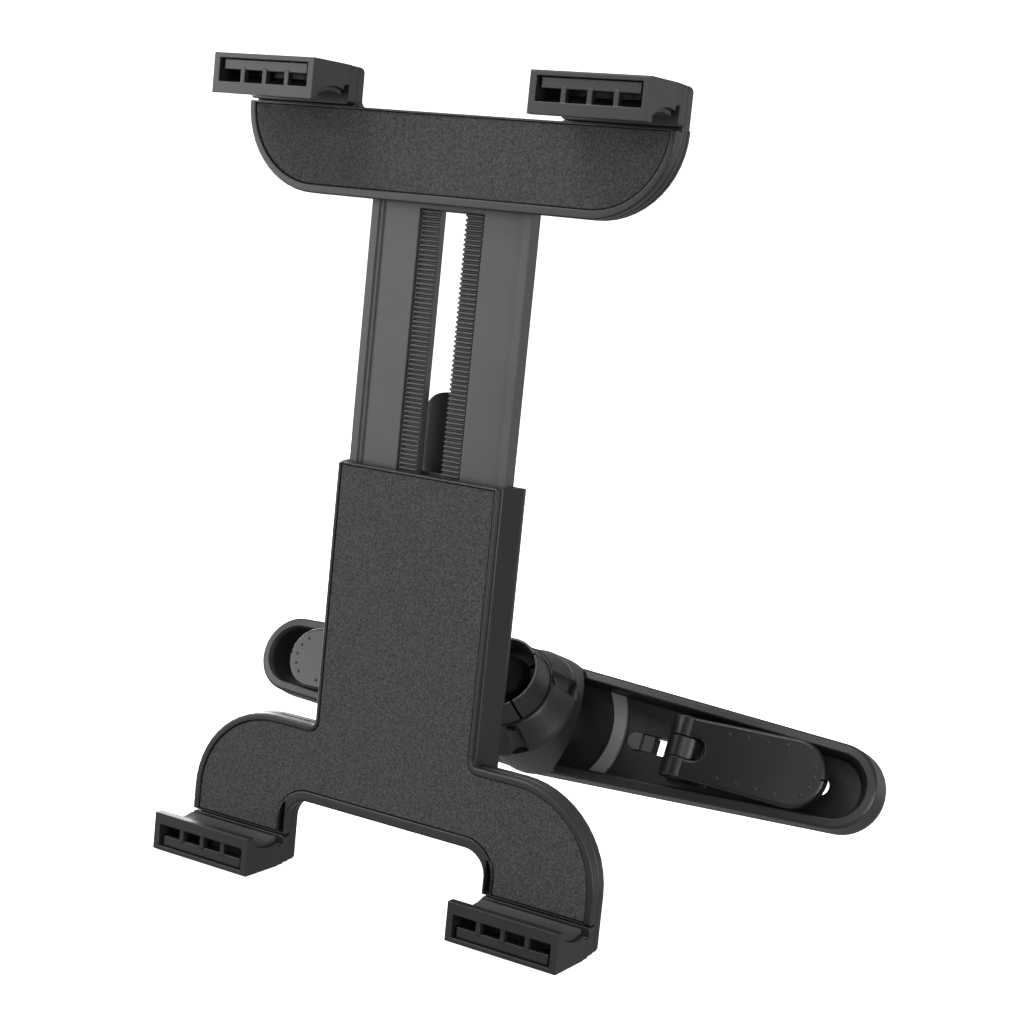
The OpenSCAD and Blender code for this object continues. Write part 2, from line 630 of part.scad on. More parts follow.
// cone with four flutes between its broad lobes
module ring_nut() {
  r0 = collar_r + slip;
  h = nut_z1 - nut_z0;
  color([0.09, 0.09, 0.095]) at_neck() difference() {
    rotate_extrude() polygon([[r0, nut_z0], [nut_r - 0.4, nut_z0], [nut_r, nut_z0 + 0.4],
      [nut_r - 0.6, nut_z0 + 0.24 * h], [nut_r - 2.3, nut_z0 + 0.66 * h], [r0 + 1, nut_z1 - 0.5],
      [r0 + 0.5, nut_z1], [r0, nut_z1]]);
    for (a = [0:90:270]) rotate([0, 0, a + 27]) translate([nut_r - 1.1, 0, nut_z0 - 1])
      cylinder(r = 2.6, h = h + 2);
  }
}

// clamp bar
// bar outline moved in by d, its two ends drawn in by e more
function bar_pts(d, e = 0) = let(b = asin((bar_r - tip_r) / bar_half), r = tip_r - d, m = 16,
    x = bar_half - e)
  concat([for (i = [0:m]) let(a = -90 + b + i * (180 - 2 * b) / m) [x + r * cos(a), r * sin(a)]],
    [[0, bar_r - d]],
    [for (i = [0:m]) let(a = 90 + b + i * (180 - 2 * b) / m) [-x + r * cos(a), r * sin(a)]],
    [[0, d - bar_r]]);
// a body drawn through outlines at several depths; each level is [y, inset, draw of the ends]
module loft(levels) {
  n = len(bar_pts(0));
  k = len(levels);
  pts = [for (l = levels) for (p = bar_pts(l[1], l[2])) [p[0], l[0], p[1]]];
  sides = [for (j = [0:k - 2]) for (i = [0:n - 1]) let(a = j * n + i, b = j * n + (i + 1) % n)
    [a, b, b + n, a + n]];
  caps = [[for (i = [0:n - 1]) n - 1 - i], [for (i = [0:n - 1]) (k - 1) * n + i]];
  polyhedron(pts, concat(sides, caps));
}
module bar_shell() {
  color([0.1, 0.1, 0.105]) at_bar() difference() {
    loft([[rim_y, 0.9, 0], [rim_y + 0.5, 0.45, 0], [rim_y + 2, 0.25, 0], [rim_y + 4.5, 0.1, 0],
      [rim_y + 6.5, 0, 0], [floor_y1 - 1.6, 0.5, 0], [floor_y1 - 0.5, 1.1, 0], [floor_y1, 1.7, 0]]);
    // trough, its walls sloping in towards the floor at both ends
    loft([[rim_y - 0.2, 2.8, 0], [rim_y + 1.4, 3.2, 0.8], [floor_y0, 3.5, 3.2]]);
    for (s = [-1, 1]) flip(s) slab(floor_y0 - 1, floor_y1 + 1) slot_2d(slot_x0, slot_x1, slot_z);
    // seat of the neck
    ycyl(0, 0, 8, floor_y0 - 1, floor_y1 + 1);
    for (x = [-30, 30]) for (z = [-7.5, 7.5]) ycyl(x, z, 1.05, floor_y0 + 0.4, floor_y1 + 1);
  }
}
// the hub that carries the neck, standing on the floor of the trough
module hub_ring() {
  color([0.24, 0.24, 0.245]) at_bar() intersection() {
    difference() {
      ycyl(0, 0, ring_r, floor_y0 - 1.2, floor_y0);
      ycyl(0, 0, ring_r - 3.7, floor_y0 - 2, floor_y0 + 1);
    }
    slab(floor_y0 - 3, floor_y0 + 1) polygon(bar_pts(3.6));
  }
}
module bar_plate() {
  color([0.09, 0.09, 0.095]) at_bar() difference() {
    union() {
      slab(plate_y0, plate_y1 - 0.6) polygon(bar_pts(1.9));
      slab(plate_y1 - 0.6, plate_y1) polygon(bar_pts(2.5));
    }
    for (s = [-1, 1]) flip(s) slab(plate_y0 - 1, plate_y1 + 1) slot_2d(slot_x0, slot_x1, slot_z);
    for (x = [-30, 30]) for (z = [-7.5, 7.5]) ycyl(x, z, 1.35, plate_y0 - 1, plate_y1 + 1);
    for (x = [-30, 30]) for (z = [-7.5, 7.5]) ycyl(x, z, 2.4, plate_y1 - 1.2, plate_y1 + 1);
    ycyl(0, 0, 1.4, plate_y0 - 1, plate_y1 + 1);
    ycyl(0, 0, 3.4, plate_y1 - 1.2, plate_y1 + 1);
  }
}
module bar_screws() {
  at_bar() for (x = [-30, 30]) for (z = [-7.5, 7.5]) screw(x, z, plate_y1, floor_y0 + 0.6, 1, 2.2);
}
module slot_stop(s) {
  z = slot_z - slip;
  color([0.22, 0.22, 0.225]) at_bar() flip(s) {
    slab(floor_y0 - 0.5, plate_y1 - 0.6) intersection() {
      slot_2d(slot_x0 + slip, slot_x0 + 14, z);
      translate([slot_x0, -5]) square([4.1, 10]);
    }
    translate([slot_x0 + 4, floor_y0 + 0.3, -z + 0.15])
      cube([stop_x1 - slot_x0 - 4, floor_t + plate_t - 1, 2 * z - 0.3]);
  }
}
module slot_stop_left() { slot_stop(-1); }
module slot_stop_right() { slot_stop(1); }
// rubber strip that the posts bear on
module grip_pad(s) {
  x0 = slot_x0 + 16;
  color([0.05, 0.05, 0.05]) at_bar() flip(s) difference() {
    translate([x0, plate_y1, -8.2]) cube([bar_half - x0 - 1, grip_t, 16.4]);
    translate([x0 - 1, plate_y1 - 1, -slot_z - 0.4]) cube([slot_x1 - x0 + 1.4, grip_t + 2, 2 * slot_z + 0.8]);
  }
}
module grip_pad_left() { grip_pad(-1); }
module grip_pad_right() { grip_pad(1); }

// cam clamps
module at_clamp(s) { at_bar() flip(s) translate([bolt_x, 0, 0]) children(); }
module washer(s) {
  y1 = floor_y0 - slip;
  color([0.5, 0.5, 0.5]) at_clamp(s) difference() {
    translate([-6, y1 - washer_t, -lever_z + 0.3]) cube([12, washer_t, 2 * lever_z - 0.6]);
    ycyl(0, 0, bolt_r + slip, y1 - 2, y1 + 1);
  }
}
module washer_left() { washer(-1); }
module washer_right() { washer(1); }
module eye_bolt(s) {
  color([0.35, 0.35, 0.35]) at_clamp(s) difference() {
    union() {
      translate([0, pin_y, -eye_z]) cylinder(r = cam_r - 0.6, h = 2 * eye_z);
      ycyl(0, 0, bolt_r, pin_y + 2, jaw_back + 2.4);
    }
    translate([0, pin_y, -eye_z - 1]) cylinder(r = pin_r, h = 2 * eye_z + 2);
  }
}
module eye_bolt_left() { eye_bolt(-1); }
module eye_bolt_right() { eye_bolt(1); }
module lever_pin(s) {
  color([0.55, 0.55, 0.55]) at_clamp(s) translate([0, pin_y, -lever_z + 0.4])
    cylinder(r = pin_r, h = 2 * lever_z - 0.8);
}
module lever_pin_left() { lever_pin(-1); }
module lever_pin_right() { lever_pin(1); }
// flat lever in front of the rim, its cam barrel set off the pin
module lever(s) {
  back = rim_y - side_gap - pin_y;
  front = back - 3.2;
  w = 9.2;
  xc = cam_off * cos(45);
  color([0.05, 0.05, 0.052]) at_clamp(s) translate([0, pin_y, 0]) difference() {
    union() {
      translate([xc, xc, -lever_z]) cylinder(r = cam_r, h = 2 * lever_z);
      translate([0, front, -lever_z]) cube([12, 3.2, 2 * lever_z]);
      translate([0, back - 1, -lever_z]) cube([cam_r - 0.5, 3.4, 2 * lever_z]);
      slab(front, back) polygon([[10, -lever_z], [lever_len - w, -w], [lever_len - w, w], [10, lever_z]]);
      ycyl(lever_len - w, 0, w, front, back);
      slab(front - 0.3, front + 0.3) polygon([[12, 1 - lever_z], [lever_len - w, 1 - w],
        [lever_len - w, w - 1], [12, lever_z - 1]]);
      ycyl(lever_len - w, 0, w - 1, front - 0.3, front + 0.3);
      // raised grip pips along both edges and round the end
      for (i = [0:3]) for (q = [-1, 1]) ycyl(13.15 + 5.47 * i, q * (6 + 0.15 * i), 0.45, front - 0.65, front);
      for (a = [-50:25:50]) ycyl(lever_len - w + 6.6 * cos(a), 6.6 * sin(a), 0.4, front - 0.65, front);
    }
    // room for the eye of the bolt
    translate([-9, -12, -eye_z - 0.25]) cube([13.5, 24, 2 * eye_z + 0.5]);
    ycyl(4.5, 0, eye_z + 0.25, -12, 12);
    translate([0, 0, -lever_z - 1]) cylinder(r = pin_r + run, h = 2 * lever_z + 2);
  }
}
module lever_left() { lever(-1); }
module lever_right() { lever(1); }
module jaw(s) {
  y0 = plate_y1 + grip_t + 0.6;
  color([0.1, 0.1, 0.105]) at_clamp(s) difference() {
    union() {
      translate([-6.5, y0, -jaw_z]) cube([14.5, jaw_back - y0, 2 * jaw_z]);
      translate([7, 1, -jaw_z]) cube([post_off + 1.5, jaw_back - 1, 2 * jaw_z]);
      translate([post_off, 0, -jaw_z]) intersection() {
        cylinder(r = jaw_back, h = 2 * jaw_z);
        translate([0, 1, 0]) cube([40, 40, 2 * jaw_z]);
      }
      // key that runs in the slot of the back plate
      translate([-4.4, plate_y0 + 0.6, -slot_z + 0.2]) cube([8.8, y0 - plate_y0, 2 * slot_z - 0.4]);
    }
    translate([post_off, 0, -jaw_z - 1]) cylinder(r = liner_r + liner_t + 0.02, h = 2 * jaw_z + 2);
    ycyl(0, 0, bolt_r + slip, plate_y0 - 2, jaw_back + 2);
    ycyl(0, 0, 4.7, jaw_back - 3.2, jaw_back + 1, $fn = 6);
  }
}
module jaw_left() { jaw(-1); }
module jaw_right() { jaw(1); }
module jaw_liner(s) {
  color([0.05, 0.05, 0.05]) at_clamp(s) translate([post_off, 0, -jaw_z + 0.3]) difference() {
    cylinder(r = liner_r + liner_t, h = 2 * jaw_z - 0.6);
    translate([0, 0, -1]) cylinder(r = liner_r, h = 2 * jaw_z + 2);
    translate([-20, -40 + 1, -1]) cube([40, 40, 2 * jaw_z + 2]);
  }
}
module jaw_liner_left() { jaw_liner(-1); }
module jaw_liner_right() { jaw_liner(1); }
module clamp_nut(s) {
  color([0.6, 0.6, 0.6]) at_clamp(s) difference() {
    union() {
      ycyl(0, 0, 4.4, jaw_back - 3, jaw_back + 0.4, $fn = 6);
      ycyl(0, 0, 3.6, jaw_back, jaw_back + 1.2);
    }
    ycyl(0, 0, bolt_r + 0.02, jaw_back - 4, jaw_back + 3);
  }
}
module clamp_nut_left() { clamp_nut(-1); }
module clamp_nut_right() { clamp_nut(1); }

lower_shell();
lower_cover();
lower_pad();
upper_shell();
upper_cover();
upper_pad();
stem();
claw_lower_left();
claw_lower_right();
claw_upper_left();
claw_upper_right();
claw_pad_lower_left();
claw_pad_lower_right();
claw_pad_upper_left();
claw_pad_upper_right();
rear_housing();
release_button();
pawl();
pawl_spring();
lower_screws();
upper_screws();
ball_stud();
stud_washer();
stud_screw();
ball_cup();
neck_collar();
hub_screw();
ring_nut();
bar_shell();
bar_plate();
bar_screws();
hub_ring();
slot_stop_left();
slot_stop_right();
grip_pad_left();
grip_pad_right();
washer_left();
washer_right();
eye_bolt_left();
eye_bolt_right();
lever_left();
lever_right();
lever_pin_left();
lever_pin_right();
jaw_left();
jaw_right();
jaw_liner_left();
jaw_liner_right();
clamp_nut_left();
clamp_nut_right();
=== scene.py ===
"""Headrest tablet mount: its looks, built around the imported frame.

Flat parts are plates: a rounded outline in two directions, and a small profile of
(inset, depth) carried round it. Turned and lofted parts are grids over two parameters.
Sizes in the code are millimetres, and the finished meshes are metres.
"""
import json
import math

import bmesh
import bpy
import numpy as np
from bpy.props import FloatProperty, FloatVectorProperty, IntProperty, PointerProperty
from mathutils import Matrix, Vector
from mathutils.geometry import delaunay_2d_cdt


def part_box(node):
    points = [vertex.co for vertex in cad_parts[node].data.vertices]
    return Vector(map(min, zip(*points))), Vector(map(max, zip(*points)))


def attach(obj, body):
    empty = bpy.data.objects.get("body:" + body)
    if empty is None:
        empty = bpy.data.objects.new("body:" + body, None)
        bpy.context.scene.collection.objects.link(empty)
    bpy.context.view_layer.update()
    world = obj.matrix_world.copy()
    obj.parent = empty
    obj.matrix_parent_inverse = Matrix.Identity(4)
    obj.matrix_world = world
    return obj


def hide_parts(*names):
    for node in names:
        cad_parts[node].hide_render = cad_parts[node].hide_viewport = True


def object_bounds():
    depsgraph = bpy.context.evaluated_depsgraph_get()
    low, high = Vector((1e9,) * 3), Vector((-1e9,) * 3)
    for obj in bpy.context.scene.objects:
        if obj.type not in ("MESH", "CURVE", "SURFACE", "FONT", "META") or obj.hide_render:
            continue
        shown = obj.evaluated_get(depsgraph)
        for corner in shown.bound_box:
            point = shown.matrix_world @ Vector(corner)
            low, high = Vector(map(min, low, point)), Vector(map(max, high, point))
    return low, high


bl_info = {
    "name": "Headrest tablet mount",
    "version": (1, 0, 0),
    "blender": (4, 5, 0),
    "location": "3D View > Sidebar > Tablet mount",
    "description": "Dresses a headrest tablet mount: covers, foam, clamp bar, levers and light",
    "category": "Object",
}

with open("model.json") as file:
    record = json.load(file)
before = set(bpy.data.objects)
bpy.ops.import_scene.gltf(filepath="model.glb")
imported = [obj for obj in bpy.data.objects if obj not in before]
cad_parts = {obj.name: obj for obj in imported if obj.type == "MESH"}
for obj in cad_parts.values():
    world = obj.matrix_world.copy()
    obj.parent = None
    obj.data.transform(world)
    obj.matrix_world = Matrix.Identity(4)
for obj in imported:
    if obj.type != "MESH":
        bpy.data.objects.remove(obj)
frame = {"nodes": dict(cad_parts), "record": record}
CAD_BOX = [list(v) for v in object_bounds()]
# points of a mesh closer than this, in metres, become one
WELD = 1.5e-6
SLOTS = {s["node"]: s["material_slot"] for s in frame["record"]["subparts"]}
# nodes whose finish in the picture differs from that of their slot; the ball and its cup get near black
# with little reflection, painted shade for the dark inside of the collar's mouth
FINISH = {"hub_ring": "ring_grey", "ball_stud": "shaded_mouth_black", "ball_cup": "shaded_mouth_black"}


def low(node):
    """Lowest corner of a CAD node's box, in millimetres."""
    return np.array(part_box(node)[0]) * 1000


def high(node):
    """Highest corner of a CAD node's box, in millimetres."""
    return np.array(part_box(node)[1]) * 1000


# where the holder stands: its claw fronts and claw bottoms
HOLD = np.array([0.0, low("claw_lower_left")[1], low("claw_lower_left")[2]])
HALF_W = high("claw_lower_right")[0]
CLAW_W = HALF_W - low("claw_lower_right")[0]
UP_TOP = high("claw_upper_left")[2] - HOLD[2]
BODY_H = high("lower_shell")[2] - HOLD[2]


# shapes
def inset(corners, radii, d, n, share=1.0):
    """Outline of a polygon with rounded corners, each edge moved in by d times its share.

    An edge's normal is its direction turned left. The moved corner solves both moved
    edges; an arc's centre lies on the bisector, radius / cos(turn / 2) from it, and its
    radius is r - d on a convex corner and r + d on a hollow one.
    """
    p = np.asarray(corners, float)
    r = np.asarray(radii, float)
    t2 = np.roll(p, -1, 0) - p
    t2 /= np.linalg.norm(t2, axis=1)[:, None]
    t1 = np.roll(t2, 1, 0)
    n1 = np.stack([-t1[:, 1], t1[:, 0]], 1)
    n2 = np.stack([-t2[:, 1], t2[:, 0]], 1)
    d2 = d * np.broadcast_to(np.asarray(share, float), r.shape)
    d1 = np.roll(d2, 1)
    c = (n1 * n2).sum(1)
    q = p + (((d1 - d2 * c) / (1 - c * c))[:, None] * n1 + ((d2 - d1 * c) / (1 - c * c))[:, None] * n2)
    turn = np.arctan2(t1[:, 0] * t2[:, 1] - t1[:, 1] * t2[:, 0], (t1 * t2).sum(1))
    sign = np.sign(turn)
    rr = np.maximum(r - sign * (d1 + d2) / 2, 0.02)
    mid = (n1 + n2) / np.linalg.norm(n1 + n2, axis=1)[:, None]
    centre = q + mid * (sign * rr / np.cos(turn / 2))[:, None]
    start = np.arctan2(-n1[:, 1] * sign, -n1[:, 0] * sign)
    a = start[:, None] + turn[:, None] * np.linspace(0, 1, n)
    arc = np.stack([np.cos(a), np.sin(a)], -1) * rr[:, None, None]
    return (centre[:, None] + arc).reshape(-1, 2)


def circle(x, y, r, n, inside=False):
    """Circle as a function of its inset; a hole runs the other way and grows instead."""
    a = np.linspace(0, 2 * np.pi, n, endpoint=False) * (-1 if inside else 1)
    grow = 1 if inside else -1
    return lambda d: np.stack([x + (r + grow * d) * np.cos(a), y + (r + grow * d) * np.sin(a)], 1)


def polygon(corners, radii, n=8):
    """Rounded polygon as a function of its inset."""
    return lambda d: inset(corners, radii, d, n)


def box_outline(x0, y0, x1, y1, r, inside=False):
    """Rectangle with rounded corners as a function of its inset."""
    c = [(x0, y0), (x1, y0), (x1, y1), (x0, y1)]
    return polygon(c[::-1] if inside else c, [r] * 4, 9)


def fill(loops):
    """Triangles between closed loops: a Delaunay net that keeps every edge of the loops,
    less the triangles whose middle lies in an even number of them."""
    pts = np.concatenate(loops)
    starts = np.cumsum([0] + [len(q) for q in loops])
    a = np.arange(len(pts))
    b = np.concatenate([np.roll(np.arange(s, s + len(q)), -1) for s, q in zip(starts, loops)])
    out = delaunay_2d_cdt([Vector(p) for p in pts], np.stack([a, b], 1).tolist(), [], 0, 1e-5)
    co = np.array([tuple(v) for v in out[0]])
    tri = np.array([f for f in out[2] if len(f) == 3])
    mid = co[tri].mean(1)
    p, q = pts[a], pts[b]
    above = (p[None, :, 1] > mid[:, None, 1]) != (q[None, :, 1] > mid[:, None, 1])
    dy = np.where(q[:, 1] == p[:, 1], 1e-12, q[:, 1] - p[:, 1])
    cross = p[None, :, 0] + (mid[:, None, 1] - p[None, :, 1]) * ((q[:, 0] - p[:, 0]) / dy)[None]
    inside = (above & (cross > mid[:, None, 0])).sum(1) % 2 == 1
    return co, tri[inside]


class Shape:
    """Points and faces gathered from several surfaces, in millimetres."""

    def __init__(self):
        self.points, self.faces, self.count = [], [], 0

    def add(self, pts, faces):
        """Adds an array of points and an array of faces of one size."""
        self.points.append(np.asarray(pts, float))
        self.faces += (np.asarray(faces) + self.count).tolist()
        self.count += len(pts)

    def grid(self, g, flip=False):
        """Quads over a grid (rows, columns, 3) whose columns close into a ring."""
        k, m = g.shape[:2]
        i = np.arange((k - 1) * m).reshape(k - 1, m)
        col = (i % m + 1) % m + i // m * m
        quads = np.stack([i, i + m, col + m, col], -1).reshape(-1, 4)
        self.add(g.reshape(-1, 3), quads[:, ::-1] if flip else quads)

    def plate(self, outer, profile, holes=(), place=None):
        """A plate: every outline carries its profile of (inset, depth) from the front face,
        round its edge to the back face, and both faces are filled. holes are (outline,
        profile) pairs. place turns (u, v, depth) rows into (x, y, z) rows."""
        place = place or (lambda q: q[:, [0, 2, 1]])
        probe = place(np.eye(3)) - place(np.zeros((3, 3)))
        turned = np.linalg.det(probe) > 0
        first, last = [], []
        for ring, prof in [(outer, profile)] + list(holes):
            rows = [np.column_stack([ring(d), np.full(len(ring(d)), y)]) for d, y in prof]
            g = np.stack([place(row) for row in rows])
            self.grid(g, flip=turned)
            first.append((ring(prof[0][0]), prof[0][1]))
            last.append((ring(prof[-1][0]), prof[-1][1]))
        for faces, back in ((first, False), (last, True)):
            co, tri = fill([q for q, _ in faces])
            pts = place(np.column_stack([co, np.full(len(co), faces[0][1])]))
            self.add(pts, tri[:, ::-1] if back != turned else tri)

    def turned(self, rows, angles):
        """Surface of revolution: rows of (radius, height) turned through the angles."""
        rad = np.asarray(rows, float)
        x = rad[:, :1] * np.cos(angles)[None]
        y = rad[:, :1] * np.sin(angles)[None]
        self.grid(np.stack([x, y, np.broadcast_to(rad[:, 1:], x.shape)], -1), flip=True)

    def mirror(self):
        """A copy with x turned to -x and its faces turned round."""
        out = Shape()
        out.points = [np.concatenate(self.points) * (-1, 1, 1)]
        out.faces = [f[::-1] for f in self.faces]
        out.count = self.count
        return out


def soft_edge(front, back, r, r_back, n=5):
    """Profile of a plate from its front face to its back face with quarter-round edges."""
    a = np.linspace(0, np.pi / 2, n)
    one = np.stack([r * (1 - np.sin(a)), front + r * (1 - np.cos(a))], 1)
    two = np.stack([r_back * (1 - np.cos(a)), back - r_back * (1 - np.sin(a))], 1)
    return np.concatenate([one, two]).tolist()


def piece(name, shape, body, nodes, at, sharp=38.0):
    """Makes the mesh, welds its doubles, smooths it below a sharp angle and lets it ride."""
    slot = SLOTS[nodes[0]]
    pts = at(np.concatenate(shape.points))
    me = bpy.data.meshes.new(name)
    me.from_pydata((pts / 1000).tolist(), [], shape.faces)
    bm = bmesh.new()
    bm.from_mesh(me)
    bmesh.ops.remove_doubles(bm, verts=bm.verts, dist=WELD)
    bmesh.ops.dissolve_degenerate(bm, edges=bm.edges, dist=WELD)
    bm.to_mesh(me)
    bm.free()
    me.polygons.foreach_set("use_smooth", np.ones(len(me.polygons), bool))
    me.set_sharp_from_angle(angle=math.radians(sharp))
    ob = bpy.data.objects.new(name, me)
    bpy.context.scene.collection.objects.link(ob)
    even = ob.modifiers.new("even_normals", "WEIGHTED_NORMAL")
    even.keep_sharp = True
    me.materials.append(MATERIALS[slot])
    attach(ob, body)
    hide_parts(*nodes)
    return ob


def in_holder(pts):
    """From the holder's own place, at its claw fronts and bottoms, to the row frame."""
    return pts + HOLD


def bar_frame(tilt):
    """Turns the bar's own directions by its lean: y' = y cos + z sin, z' = z cos - y sin."""
    c, s = math.cos(math.radians(tilt)), math.sin(math.radians(tilt))
    m = np.array([[1, 0, 0], [0, c, s], [0, -s, c]])
    return lambda pts: pts @ m.T


# materials
MATERIALS = {}


def plastic(name, colour, rough=0.45, grain=0.05, size=2600.0, vary=0.12, edge=0.35):
    """Moulded plastic: fine grain in the bump, slow drift in roughness and colour."""
    mat = bpy.data.materials.new(name)
    mat.use_nodes = True
    n, l = mat.node_tree.nodes, mat.node_tree.links
    bsdf = n["Principled BSDF"]
    co = n.new("ShaderNodeTexCoord")
    slow = n.new("ShaderNodeTexNoise")
    slow.inputs["Scale"].default_value = 60.0
    slow.inputs["Detail"].default_value = 5.0
    l.new(co.outputs["Object"], slow.inputs["Vector"])
    ramp = n.new("ShaderNodeValToRGB")
    ends = ramp.color_ramp.elements
    ends[0].color, ends[0].position = (*[c * (1 - vary) for c in colour], 1), 0.35
    ends[1].color, ends[1].position = (*[min(1.0, c * (1 + vary)) for c in colour], 1), 0.65
    l.new(slow.outputs["Fac"], ramp.inputs["Fac"])
    l.new(ramp.outputs["Color"], bsdf.inputs["Base Color"])
    span = n.new("ShaderNodeMapRange")
    span.inputs["To Min"].default_value = rough - 0.05
    span.inputs["To Max"].default_value = rough + 0.06
    l.new(slow.outputs["Fac"], span.inputs["Value"])
    l.new(span.outputs["Result"], bsdf.inputs["Roughness"])
    fine = n.new("ShaderNodeTexNoise")
    fine.inputs["Scale"].default_value = size
    fine.inputs["Detail"].default_value = 2.0
    l.new(co.outputs["Object"], fine.inputs["Vector"])
    bump = n.new("ShaderNodeBump")
    bump.inputs["Strength"].default_value = grain
    bump.inputs["Distance"].default_value = 0.0001
    l.new(fine.outputs["Fac"], bump.inputs["Height"])
    if edge:
        soft = n.new("ShaderNodeBevel")
        soft.samples = 4
        soft.inputs["Radius"].default_value = edge / 1000
        l.new(soft.outputs["Normal"], bump.inputs["Normal"])
    l.new(bump.outputs["Normal"], bsdf.inputs["Normal"])
    MATERIALS[name] = mat
    return mat


def dial(name, socket, value):
    """Sets one socket of a material's shader."""
    MATERIALS[name].node_tree.nodes["Principled BSDF"].inputs[socket].default_value = value


def foam(name, colour):
    """Foam sheet: pale and dark specks about half a millimetre across, and a pitted face."""
    mat = plastic(name, colour, rough=0.85, grain=0.5, size=1500.0, vary=0.1, edge=0.0)
    n, l = mat.node_tree.nodes, mat.node_tree.links
    bsdf = n["Principled BSDF"]
    co = [x for x in n if x.type == "TEX_COORD"][0]
    specks = n.new("ShaderNodeTexNoise")
    specks.inputs["Scale"].default_value = 2400.0
    specks.inputs["Detail"].default_value = 3.0
    specks.inputs["Roughness"].default_value = 0.7
    l.new(co.outputs["Object"], specks.inputs["Vector"])
    ramp = n.new("ShaderNodeValToRGB")
    ends = ramp.color_ramp.elements
    ends[0].color, ends[0].position = (*[c * 0.3 for c in colour], 1), 0.38
    ends[1].color, ends[1].position = (*[c * 1.9 for c in colour], 1), 0.66
    l.new(specks.outputs["Fac"], ramp.inputs["Fac"])
    l.new(ramp.outputs["Color"], bsdf.inputs["Base Color"])


# settings
class MountSizes(bpy.types.PropertyGroup):
    """Small sizes that only the looks have."""

    edge: FloatProperty(
        name="Edge radius", description="Rounding of the covers' edges",
        default=0.0004, min=0.0001, max=0.001, unit="LENGTH")
    foam_edge: FloatProperty(
        name="Foam edge", description="Rounding of the foam's edge",
        default=0.00025, min=0.00005, max=0.0006, unit="LENGTH")
    flutes: IntProperty(
        name="Nut flutes", description="Grip flutes round the ring nut", default=4, min=3, max=16)
    flute_depth: FloatProperty(
        name="Flute depth", description="Depth of the nut's flutes",
        default=0.0022, min=0.0004, max=0.003, unit="LENGTH")
    bar_lean: FloatProperty(
        name="Bar lean", description="Lean of the clamp bar",
        default=math.radians(23), unit="ROTATION")
    neck_rise: FloatProperty(
        name="Neck rise", description="Rise of the neck against the bar",
        default=math.radians(17), unit="ROTATION")


class MountColours(bpy.types.PropertyGroup):
    """Colours and finishes."""

    body: FloatVectorProperty(
        name="Body", description="Moulded covers and clamp bar",
        default=(0.012, 0.012, 0.0125), subtype="COLOR", min=0, max=1)
    stem: FloatVectorProperty(
        name="Stem", description="Sliding stem",
        default=(0.042, 0.042, 0.043), subtype="COLOR", min=0, max=1)
    foam: FloatVectorProperty(
        name="Foam", description="Foam sheets on the faces",
        default=(0.03, 0.03, 0.0305), subtype="COLOR", min=0, max=1)
    lever: FloatVectorProperty(
        name="Levers", description="Cam levers and release button",
        default=(0.008, 0.008, 0.0085), subtype="COLOR", min=0, max=1)
    rough: FloatProperty(
        name="Body roughness", description="Roughness of the moulded plastic",
        default=0.42, min=0.05, max=1, subtype="FACTOR")


def sizes():
    return bpy.context.scene.mount_sizes


# the holder
ARCH_H, ARCH_R, ARM_TOP, ARM_R = 17.8, 6, 37.7, 23.7
SLEEVE_W = high("stem")[0] + 2.85
CLAW_H = high("claw_lower_left")[2] - low("claw_lower_left")[2]
FIX_Z = CLAW_H / 2 - 1.6
UP_BAR_H = 21.6
CORNER_N = 14
# depths behind the claws' fronts
RIM_FRONT, FOAM_FRONT, FOAM_BACK, COVER_BACK, SHELL_FRONT = 14.7, 15.0, 16.2, 17.2, 17.5
ARM_BACK, SLEEVE_IN, SLEEVE_BACK, UP_BACK = 20.6, 22.95, 24.7, 21.1


def lower_corners(waist, bottom, top):
    """Corners and radii of the lower body: two arms with big round shoulders, an arch
    between them, and the sleeve standing on the waist."""
    w, a = HALF_W, HALF_W - CLAW_W
    right = [(a, bottom), (w, bottom), (w, ARM_TOP), (waist, ARM_TOP), (waist, top)]
    left = [(-x, z) for x, z in right[::-1]]
    corners = right + left + [(-a, ARCH_H), (a, ARCH_H)]
    radii = [0.3, 0.3, ARM_R, 1.6, 0.8, 0.8, 1.6, ARM_R, 0.3, 0.3, ARCH_R, ARCH_R]
    return corners, radii


def upper_corners(top):
    """Corners and radii of the upper body, a bar with two big round lower corners."""
    z0 = UP_TOP - CLAW_H - UP_BAR_H
    corners = [(-HALF_W, z0), (HALF_W, z0), (HALF_W, top), (-HALF_W, top)]
    return corners, [21.1, 21.1, 0.4, 0.4]


def cover_profile(edge, back, seam):
    """From the front face, over its soft edge and down the side to the seam, set in."""
    seam_in = 1.1
    a = np.linspace(0, np.pi / 2, 5)
    outer = np.stack([edge * (1 - np.sin(a)), RIM_FRONT + edge * (1 - np.cos(a))], 1)
    return outer.tolist() + [(0, back - 0.15), (0.15, back), (seam_in, back), (seam_in, seam)]


def wall_profile(back, soft=0.25):
    """From the front face over a soft inner edge and straight back."""
    a = np.linspace(0, np.pi / 2, 4)
    rows = np.stack([soft * (1 - np.sin(a)), RIM_FRONT + soft * (1 - np.cos(a))], 1)
    return rows.tolist() + [(0, back)]


def screw_holes(z, back, deep):
    """Two holes behind each claw, widest at the seam and eased at the back face."""
    radius, off, mid = 2.3, 7, HALF_W - CLAW_W / 2
    profile = [(0, SHELL_FRONT), (0, back - deep), (0.2, back)]
    spots = [s * mid + q for s in (-1, 1) for q in (-off, off)]
    return [(circle(x, z, radius, 24, True), profile) for x in spots]


